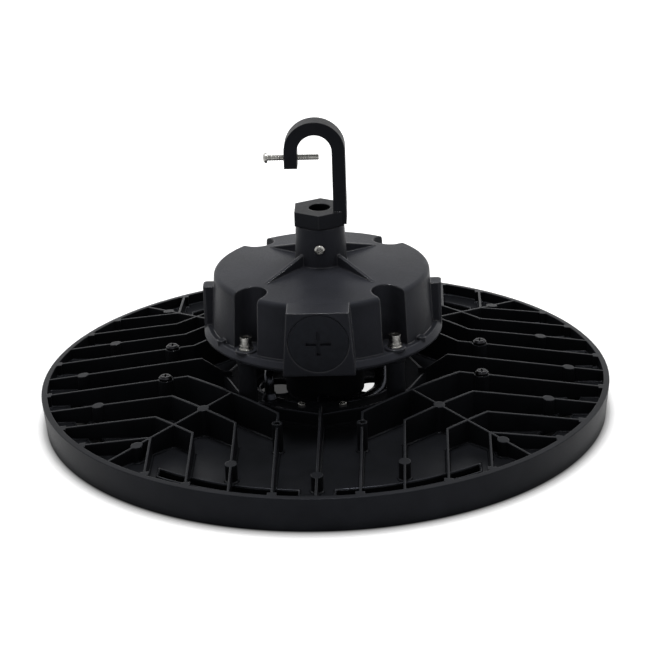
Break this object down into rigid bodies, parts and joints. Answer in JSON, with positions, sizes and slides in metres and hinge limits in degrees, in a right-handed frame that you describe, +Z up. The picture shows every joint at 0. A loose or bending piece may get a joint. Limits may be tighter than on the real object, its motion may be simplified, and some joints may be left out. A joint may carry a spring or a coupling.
{
  "type": "high bay light",
  "caption": "Round high bay light: ribbed black cast plate with LEDs and lens below, driver box on posts, hook with safety screw on top.",
  "frame": {"origin": "middle of the ring under the rim, on the plane that the light rests on", "axes": "+Z up towards the hook, -Y towards the screwed plug, +X towards the upright bar of the hook"},
  "size_m": [0.34, 0.34, 0.1814],
  "materials": {
    "cast_black": "black powder coat on die casting",
    "black_plastic": "moulded black nylon",
    "black_rubber": "silicone and EPDM rubber",
    "lead_sheath": "smooth black cable sheath",
    "stainless": "bright stainless steel",
    "black_steel": "black oxide steel",
    "driver_can": "plain aluminium can",
    "white_board": "white solder mask",
    "led_phosphor": "phosphor over LED dies",
    "clear_lens": "clear polycarbonate"
  },
  "bodies": {
    "root": {"heat_sink": "cast_black", "driver_housing": "cast_black", "base_plate": "cast_black", "hook": "cast_black", "blanking_plug": "black_plastic", "lead_clamp": "black_plastic", "lead_gland": "black_plastic", "dimming_gland": "black_plastic", "gland_nuts": "black_plastic", "base_gasket": "black_rubber", "plug_seal": "black_rubber", "hook_washer": "black_rubber", "lead_elbow": "black_rubber", "dimming_grommet": "black_rubber", "lens_gasket_outer": "black_rubber", "lens_gasket_inner": "black_rubber", "led_lead": "lead_sheath", "dimming_lead": "lead_sheath", "hook_safety_screw": "stainless", "hook_set_screw": "stainless", "housing_screws": "stainless", "lead_clamp_screws": "stainless", "boss_screws": "black_steel", "driver": "driver_can", "led_board": "white_board", "led_chips": "led_phosphor", "lens": "clear_lens"}
  },
  "joints": []
}
